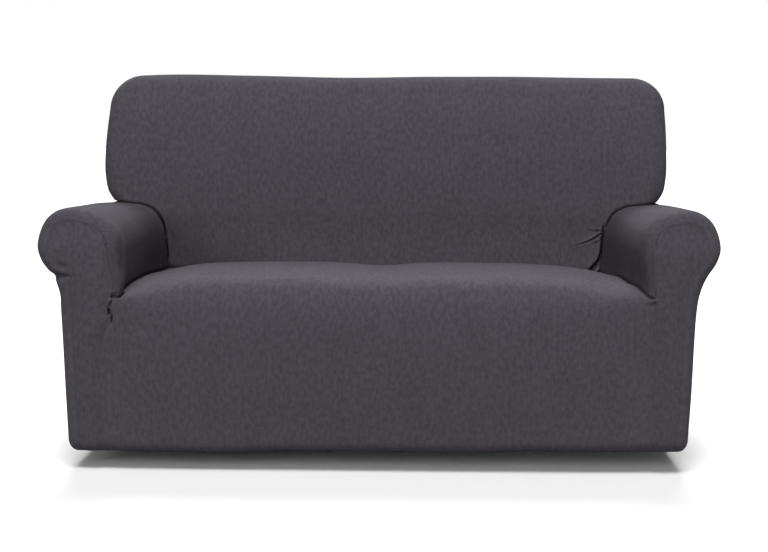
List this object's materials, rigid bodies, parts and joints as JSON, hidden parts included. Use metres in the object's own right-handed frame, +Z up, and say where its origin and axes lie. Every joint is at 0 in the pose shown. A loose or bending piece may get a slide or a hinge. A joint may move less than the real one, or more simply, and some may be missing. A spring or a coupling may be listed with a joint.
{
  "type": "sofa slipcover",
  "caption": "Fitted stretch-knit slipcover for a two-seat sofa with rolled arms and an eared back, one bench seat with a front apron, gathered hem.",
  "frame": {"origin": "inner surface of the cloth under the middle of the top of the back, where the sofa's back holds the cover up", "axes": "+X to the right of a viewer who faces the cover's front, +Y from the front to the rear, +Z up"},
  "size_m": [1.6242, 0.8904, 0.9129],
  "materials": {
    "heather_knit": "matt heathered stretch knit in dark purple-grey"
  },
  "bodies": {
    "root": {"back_panel": "heather_knit", "seat_panel": "heather_knit", "arm_panel_right": "heather_knit", "arm_panel_left": "heather_knit", "facing_right": "heather_knit", "facing_left": "heather_knit", "rear_panel": "heather_knit"}
  },
  "joints": []
}
